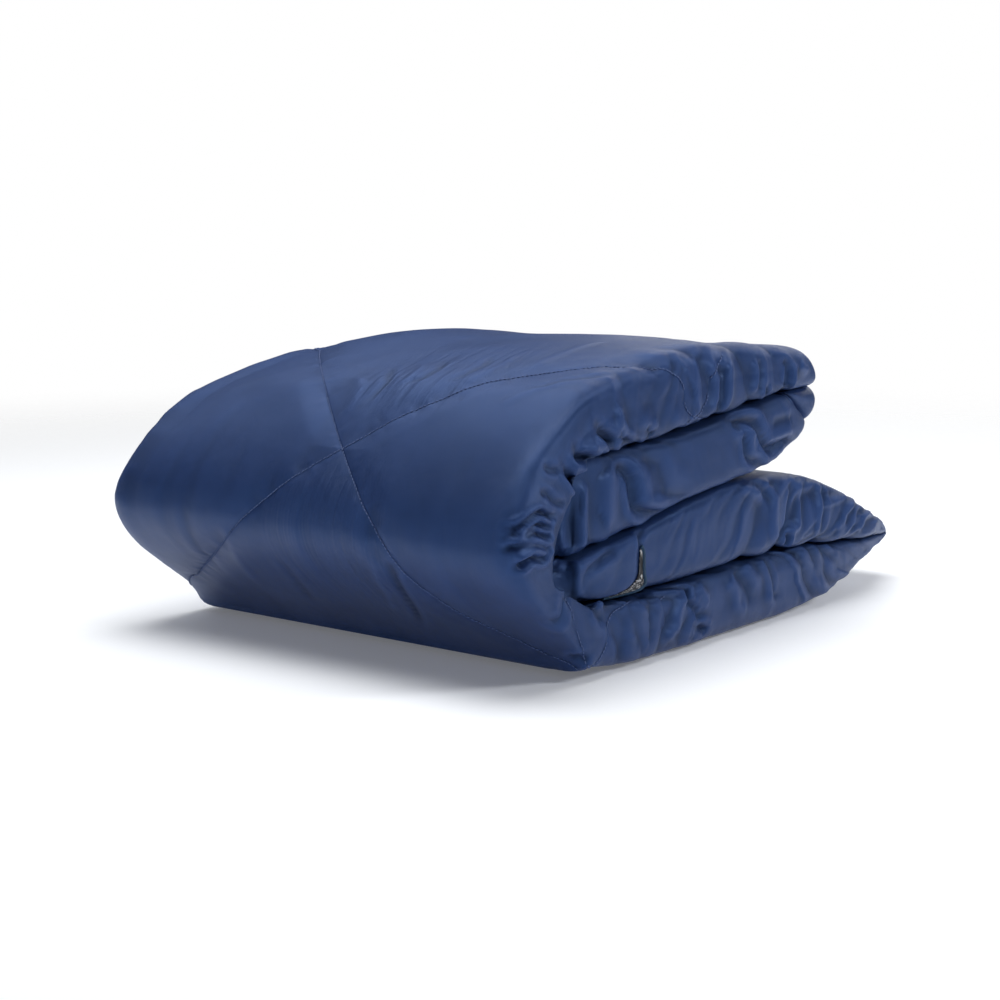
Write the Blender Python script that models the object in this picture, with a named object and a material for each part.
"""Navy diamond-quilted blanket, folded in three along its width and then in four layers.

Each layer of the stack is three plies thick and reads as one soft slab. The slab runs
as one strip: from its upper free end forwards, round an inner fold, back over the
middle, round a puffed back fold, forwards along the top, round the big front wrap and
back along the floor to its other free end. Metres, +Z up. The front wrap faces -Y and
the crisp folded edges face +X. The origin is at the centre of the base.
"""

import bpy
import numpy as np

# Driving sizes of the folded blanket
GRID_STEP = 0.024
FLAT_STEPS = 16
FLAT_HALF = FLAT_STEPS / 2 * GRID_STEP
FREE_END_Y = 0.545
BACK_FOLD_Y = 0.300
LAYER_GAP = 0.0024

# The slab's folded edges at both ends of X
RIM_DEPTH = 0.036
RIM_STEPS = 7
RIM_SQUARENESS = 3.8
RIM_CLOTH = 5 * GRID_STEP
INSET_START = 0.08

# The front wrap, the inner fold that it holds, and the back fold
WRAP_BULGE_NEAR = 0.100
WRAP_BULGE_FAR = 0.102
WRAP_EQUATOR = 0.118
WRAP_LOWER_POINT = 3.0
WRAP_UPPER_POINT = 1.8
INNER_FOLD_BULGE = 0.044
BACK_FOLD_BULGE = 0.070
CREASE_RADIUS = 0.004
FAR_DROOP = 0.013

# The thin sewn free ends
FREE_END_TAPER = 0.040
FREE_END_THINNEST = 0.20

# Diamond quilting, sewn right through
QUILT_PITCH = 20 * GRID_STEP
QUILT_SKEW = 0.25
QUILT_CROSSING_X = 2 * GRID_STEP
QUILT_CROSSING_ANGLE = 33.0
QUILT_CHANNEL_DEPTH = 0.0065
QUILT_CHANNEL_HALF_WIDTH = 0.026

# The oval badge on the third layer's folded edge, as far as the cloth over it leaves it bare
BADGE_CENTRE_Y = 0.054
BADGE_HALF_LENGTH = 0.028
BADGE_HALF_HEIGHT = 0.026
BADGE_RISE = 0.046
BADGE_BARE_WIDTH = 0.011
BADGE_START_ANGLE = -150.0
BADGE_END_ANGLE = 55.0
BADGE_THICKNESS = 0.0010
BADGE_CLEARANCE = 0.0008
BADGE_STEPS = 24
BADGE_ROWS = 4

# Heights of the faces that the layers share, by distance behind the front pivot
LAYER_HEIGHTS = {
    "y":         (0.000, 0.080, 0.160, 0.240, 0.320, 0.400, 0.470, 0.545),
    "under_4":   (0.000, 0.000, 0.000, 0.000, 0.000, 0.000, 0.018, 0.036),
    "crease_34": (0.058, 0.058, 0.060, 0.063, 0.063, 0.058, 0.051, 0.044),
    "top_3":     (0.096, 0.112, 0.128, 0.136, 0.131, 0.111, 0.084, 0.056),
    "under_2":   (0.096, 0.112, 0.128, 0.137, 0.150, 0.150, 0.150, 0.150),
    "crease_12": (0.180, 0.180, 0.188, 0.199, 0.206, 0.206, 0.206, 0.206),
    "top_1":     (0.232, 0.245, 0.253, 0.254, 0.246, 0.246, 0.246, 0.246),
}

# How far each folded edge stands back, by place along the strip
EDGE_INSETS = {
    "place": (0.00, 0.12, 0.45, 0.90, 1.50, 2.10, 2.50, 3.50, 4.50, 5.50, 6.40, 6.88, 7.00),
    "near":  (0.046, 0.014, 0.003, 0.008, 0.030, 0.010, 0.004, 0.008, 0.002, 0.000, 0.002, 0.014, 0.046),
    "far":   (0.040, 0.014, 0.004, 0.004, 0.010, 0.008, 0.004, 0.010, 0.004, 0.000, 0.004, 0.014, 0.040),
}

# Tucks where the near folded edge gathers: face 1 is the slab's outer side, -1 its lining
EDGE_TUCKS = {
    "place":      (0.22, 0.40, 0.68, 2.30, 2.58, 2.84, 4.24, 4.52, 4.80, 5.36, 6.08, 6.30, 6.62),
    "face":       (1, 1, 1, 1, 1, -1, -1, -1, -1, -1, 1, -1, -1),
    "depth":      (0.005, 0.006, 0.004, 0.007, 0.008, 0.006, 0.006, 0.008, 0.006, 0.007, 0.006, 0.005, 0.006),
    "half_width": (0.020, 0.022, 0.020, 0.022, 0.024, 0.020, 0.020, 0.022, 0.020, 0.026, 0.020, 0.020, 0.022),
}

NAVY_SATIN = (0.035, 0.062, 0.150, 1.0)
BADGE_GREY = (0.30, 0.31, 0.32, 1.0)


def smooth_through(x, xs, ys):
    """Cubic curve through the points (xs, ys), with each slope taken from its neighbours."""
    xs = np.asarray(xs, float)
    ys = np.asarray(ys, float)
    slopes = np.gradient(ys, xs)
    x = np.clip(x, xs[0], xs[-1])
    i = np.clip(np.searchsorted(xs, x) - 1, 0, len(xs) - 2)
    width = xs[i + 1] - xs[i]
    t = (x - xs[i]) / width
    rise = t * t * (3 - 2 * t)
    bend = slopes[i] * t * (1 - t) ** 2 - slopes[i + 1] * t * t * (1 - t)
    return ys[i] * (1 - rise) + ys[i + 1] * rise + width * bend


def height(name, y):
    """Height of one shared face at a distance y behind the front pivot."""
    return smooth_through(y, LAYER_HEIGHTS["y"], LAYER_HEIGHTS[name])


def half_oval(angle, bulge, centre_y, middle, low, high, point=1.0):
    """A fold's half oval: forwards by bulge, from height low at -90 degrees to high at +90."""
    rise = np.sin(angle)
    reach = bulge * np.maximum(np.cos(angle), 0) ** point
    z = np.where(rise > 0, middle + (high - middle) * rise, middle + (middle - low) * rise)
    return centre_y - reach, z


def faces_at(place, x):
    """The outer and the lining face of the slab, as (y, z), at a place along the strip.

    place counts the stretches: 0-1 layer 3, 1-2 inner fold, 2-3 layer 2, 3-4 back fold,
    4-5 layer 1, 5-6 front wrap, 6-7 layer 4.
    """
    stretch = np.clip(np.floor(place), 0, 6).astype(int)
    t = place - stretch
    turn = np.pi * (t - 0.5)
    gap = LAYER_GAP / 2
    near = np.clip(0.5 + x / (2 * FLAT_HALF), 0, 1)
    droop = FAR_DROOP * (1 - near) ** 2

    y3 = FREE_END_Y * (1 - t)
    y2 = BACK_FOLD_Y * t
    y1 = BACK_FOLD_Y * (1 - t)
    y4 = FREE_END_Y * t
    pivot = height("top_3", 0.0)
    inside_low = height("crease_34", 0.0)
    inside_high = height("crease_12", 0.0)
    fold_low = height("under_2", BACK_FOLD_Y) + gap
    fold_middle = height("crease_12", BACK_FOLD_Y)
    fold_high = height("top_1", BACK_FOLD_Y) - droop
    bulge = WRAP_BULGE_NEAR * near + WRAP_BULGE_FAR * (1 - near)
    point = np.where(turn > 0, WRAP_LOWER_POINT, WRAP_UPPER_POINT)

    outer = (
        (y3, height("top_3", y3) - gap),
        half_oval(turn, CREASE_RADIUS, 0.0, pivot, pivot - gap, pivot + gap),
        (y2, height("under_2", y2) + gap),
        half_oval(turn, -BACK_FOLD_BULGE, BACK_FOLD_Y, fold_middle, fold_low, fold_high),
        (y1, height("top_1", y1) - droop),
        half_oval(-turn, bulge, 0.0, WRAP_EQUATOR, 0.0, height("top_1", 0.0) - droop, point),
        (y4, np.maximum(height("under_4", y4), 0)),
    )
    lining = (
        (y3, height("crease_34", y3) + gap),
        half_oval(turn, INNER_FOLD_BULGE, 0.0, pivot, inside_low + gap, inside_high - gap),
        (y2, height("crease_12", y2) - gap),
        half_oval(turn, -CREASE_RADIUS, BACK_FOLD_Y, fold_middle, fold_middle - gap, fold_middle + gap),
        (y1, height("crease_12", y1) + gap),
        half_oval(-turn, INNER_FOLD_BULGE + 2 * gap, 0.0, pivot, inside_low - gap, inside_high + gap),
        (y4, height("crease_34", y4) - gap),
    )
    spread = [
        np.choose(stretch, [face[axis] + 0 * x for face in side])
        for side in (outer, lining) for axis in (0, 1)
    ]
    return np.stack(spread[:2], -1), np.stack(spread[2:], -1)


def strip_lengths():
    """Dense places along the strip, and the length of the outer face from the quilting's crossing."""
    dense = np.linspace(0, 7, 7001)
    outer = faces_at(dense, np.zeros_like(dense))[0]
    run = np.concatenate([[0], np.cumsum(np.linalg.norm(np.diff(outer, axis=0), axis=1))])
    crossing = 5.5 - QUILT_CROSSING_ANGLE / 180
    return dense, run - np.interp(crossing, dense, run)


def stations():
    """Places along the strip: even steps of the outer face, finer round the inner fold."""
    dense, run = strip_lengths()
    even = GRID_STEP * np.arange(np.ceil(run[0] / GRID_STEP), np.floor(run[-1] / GRID_STEP) + 1)
    places = np.interp(even, run, dense)
    end = np.array([0.0, 0.005, 0.016]) / FREE_END_Y
    away_from_ends = (places > 0.05) & (places < 6.95)
    away_from_fold = (places < 0.99) | (places > 2.01)
    kept = places[away_from_ends & away_from_fold]
    return np.sort(np.concatenate([end, kept, np.linspace(1, 2, 7), 7 - end]))


def ring():
    """Once round the slab's section: x, side (1 outer, -1 lining) and width of the cloth."""
    flat = np.linspace(-FLAT_HALF, FLAT_HALF, FLAT_STEPS + 1)
    turn = np.linspace(0, 180, RIM_STEPS + 1)[1:-1]
    rim_x, rim_side, rim_cloth = rim(turn)
    x = np.concatenate([flat, rim_x, flat[::-1], -rim_x[::-1]])
    side = np.concatenate([flat * 0 + 1, rim_side, flat * 0 - 1, rim_side[::-1]])
    lining_cloth = 2 * FLAT_HALF + RIM_CLOTH - flat[::-1]
    return x, side, np.concatenate([flat, rim_cloth, lining_cloth, -rim_cloth[::-1]])


def rim(turn):
    """x, side and width of the cloth on the near folded edge, turn degrees past the outer face."""
    angle = np.radians(90 - turn)
    power = 2 / RIM_SQUARENESS
    x = FLAT_HALF + RIM_DEPTH * np.abs(np.cos(angle)) ** power
    side = np.sign(np.sin(angle)) * np.abs(np.sin(angle)) ** power
    return x, side, FLAT_HALF + RIM_CLOTH * turn / 180


def off_lines(cloth, run):
    """Distances from the nearest quilting line of each slant, on the unfolded cloth."""
    across = cloth - QUILT_CROSSING_X + QUILT_SKEW * np.maximum(run, 0)
    off = np.stack([across - run, across + run])
    return np.abs((off + QUILT_PITCH / 2) % QUILT_PITCH - QUILT_PITCH / 2)


def quilting_dip(cloth, run):
    """Depth of the sewn channels at a width and length of the unfolded cloth."""
    share = np.clip(1 - (off_lines(cloth, run).min(0) / QUILT_CHANNEL_HALF_WIDTH) ** 2, 0, 1)
    return QUILT_CHANNEL_DEPTH * share**2


def tuck_dip(place, x, side, run):
    """Depth of the gathers on the near folded edge."""
    dense, lengths = strip_lengths()
    dip = 0
    for at, face, depth, half_width in zip(*EDGE_TUCKS.values()):
        off = (run - np.interp(at, dense, lengths)) / half_width
        facing = np.clip(0.6 + side * face, 0, 1)
        dip = dip + depth * np.exp(-(off**2)) * facing
    return dip * np.clip((x - FLAT_HALF + 0.024) / 0.048, 0, 1)


def slab_surface(place, x, side, cloth):
    """Points of the slab's surface, with the front pivot as origin. All four are one shape."""
    run = np.interp(place, *strip_lengths())
    outer, lining = faces_at(place, np.clip(x, -FLAT_HALF, FLAT_HALF))
    half = (outer - lining) / 2
    from_end = np.minimum(place, 7 - place) * FREE_END_Y
    closing = 1 - np.clip(from_end / FREE_END_TAPER, 0, 1)
    thickness = np.sqrt(1 - (1 - FREE_END_THINNEST**2) * closing**2)
    middle = lining + half * thickness[..., None]
    dip = quilting_dip(cloth, run) + tuck_dip(place, x, side, run)
    length = np.maximum(np.linalg.norm(half, axis=-1), 1e-4)
    share = np.clip(1 - dip / length, 0.2, 1) * thickness
    section = middle + half * (side * share)[..., None]

    inset = np.where(
        x > 0,
        smooth_through(place, EDGE_INSETS["place"], EDGE_INSETS["near"]),
        smooth_through(place, EDGE_INSETS["place"], EDGE_INSETS["far"]),
    )
    pull = np.clip((np.abs(x) - INSET_START) / (FLAT_HALF + RIM_DEPTH - INSET_START), 0, 1)
    on_rim = np.clip((np.abs(x) - FLAT_HALF) / RIM_DEPTH, 0, 1)
    x = x - np.sign(x) * (inset * pull * pull * (3 - 2 * pull) + 0.5 * dip * on_rim)
    return np.concatenate([x[..., None], section], -1)


def grid_faces(rows, columns):
    """Two triangles a cell for a grid that closes on itself, split both ways in a chequer."""
    row, column = np.meshgrid(np.arange(rows - 1), np.arange(columns), indexing="ij")
    beside = (column + 1) % columns
    a, b = row * columns + column, row * columns + beside
    c, d = b + columns, a + columns
    rising = np.stack([a, c, b, a, d, c], -1)
    falling = np.stack([a, d, b, b, d, c], -1)
    return rising.reshape(rows - 1, columns, 2, 3), falling.reshape(rows - 1, columns, 2, 3)


def end_faces(first, columns):
    """Closes a free end: its outer row is zipped to its lining row."""
    middle = (RIM_STEPS - 1) // 2
    order = np.arange(columns)
    outer = np.concatenate([order[-middle:], order[:FLAT_STEPS + 1 + middle]])
    lining = order[FLAT_STEPS + 1 + middle:columns - middle][::-1]
    faces = []
    i, j = 0, 0
    while i < len(outer) - 1 or j < len(lining) - 1:
        if j == len(lining) - 1 or (i < len(outer) - 1 and i <= j):
            faces.append((outer[i], outer[i + 1], lining[j]))
            i += 1
        else:
            faces.append((outer[i], lining[j + 1], lining[j]))
            j += 1
    return np.array(faces) + first


def material(name, colour, roughness):
    """A Principled material of one colour."""
    made = bpy.data.materials.new(name)
    made.use_nodes = True
    shader = made.node_tree.nodes["Principled BSDF"]
    shader.inputs["Base Color"].default_value = colour
    shader.inputs["Roughness"].default_value = roughness
    return made


def add_object(name, points, faces, finish):
    """A mesh object that keeps its place in its mesh."""
    mesh = bpy.data.meshes.new(name)
    mesh.from_pydata(points.tolist(), [], faces.tolist())
    mesh.update()
    mesh.shade_smooth()
    mesh.materials.append(finish)
    made = bpy.data.objects.new(name, mesh)
    bpy.context.scene.collection.objects.link(made)
    return made


def quilt_points():
    """Grid of the quilt's points, a row for each station, and its unfolded cloth."""
    places = stations()
    x, side, cloth = ring()
    grids = np.broadcast_arrays(places[:, None], x, side, cloth)
    points = slab_surface(*grids)
    return points, places, cloth


def base_shift(points):
    """Moves the centre of the base to the origin."""
    low = points.reshape(-1, 3).min(0)
    high = points.reshape(-1, 3).max(0)
    return -np.array([(low[0] + high[0]) / 2, (low[1] + high[1]) / 2, low[2]])


def build_quilt(points, places, cloth, shift):
    """The folded quilt as one closed solid, each cell split along its quilting line."""
    rows, columns = points.shape[:2]
    run = np.interp(places, *strip_lengths())[:-1, None] + GRID_STEP / 2
    rising_off, falling_off = off_lines(cloth[None, :] + GRID_STEP / 2, run)
    rising, falling = grid_faces(rows, columns)
    faces = np.where((rising_off < falling_off)[..., None, None], rising, falling)
    ends = end_faces(0, columns), end_faces((rows - 1) * columns, columns)[:, ::-1]
    faces = np.concatenate([faces.reshape(-1, 3), *ends])
    add_object("quilt", points.reshape(-1, 3) + shift, faces, material("navy satin", NAVY_SATIN, 0.45))


def build_badge(shift):
    """The bare crescent of the oval badge, hugging the third layer's folded edge."""
    angle = np.radians(np.linspace(BADGE_START_ANGLE, BADGE_END_ANGLE, BADGE_STEPS + 1))
    along_arc = np.linspace(0, 1, BADGE_STEPS + 1)
    width = 0.0012 + BADGE_BARE_WIDTH * np.sin(np.pi * along_arc) ** 0.8
    inwards = np.linspace(0, 1, BADGE_ROWS + 1)[:, None] * width
    y = BADGE_CENTRE_Y + (BADGE_HALF_LENGTH - inwards) * np.cos(angle)
    rise = BADGE_RISE + (BADGE_HALF_HEIGHT - inwards * 0.6) * np.sin(angle)

    def on_edge(y, rise):
        turn = 180 - rise / RIM_CLOTH * 180
        x, side, cloth = rim(turn)
        return slab_surface(1 - y / FREE_END_Y, x, side, cloth)

    nudge = 0.001
    base = on_edge(y, rise)
    normal = np.cross(on_edge(y + nudge, rise) - base, on_edge(y, rise + nudge) - base)
    normal /= np.linalg.norm(normal, axis=-1, keepdims=True)
    low = base + normal * BADGE_CLEARANCE
    high = base + normal * (BADGE_CLEARANCE + BADGE_THICKNESS)
    rows, columns = y.shape
    boundary = [(0, j) for j in range(columns)] + [(i, columns - 1) for i in range(1, rows)]
    boundary += [(rows - 1, j) for j in range(columns - 2, -1, -1)]
    boundary += [(i, 0) for i in range(rows - 2, 0, -1)]
    edge = np.array([i * columns + j for i, j in boundary])
    after = np.roll(edge, -1)
    count = rows * columns
    a = (np.arange(rows - 1)[:, None] * columns + np.arange(columns - 1)).ravel()
    sheet = np.concatenate([
        np.stack([a, a + 1, a + columns + 1], -1),
        np.stack([a, a + columns + 1, a + columns], -1),
    ])
    sides = np.concatenate([
        np.stack([edge, after, after + count], -1),
        np.stack([edge, after + count, edge + count], -1),
    ])
    faces = np.concatenate([sheet[:, ::-1], sheet + count, sides])
    points = np.concatenate([low.reshape(-1, 3), high.reshape(-1, 3)]) + shift
    add_object("badge", points, faces, material("badge twill", BADGE_GREY, 0.7))


def main():
    for old in list(bpy.data.objects):
        bpy.data.objects.remove(old)
    points, places, cloth = quilt_points()
    shift = base_shift(points)
    build_quilt(points, places, cloth, shift)
    build_badge(shift)


main()
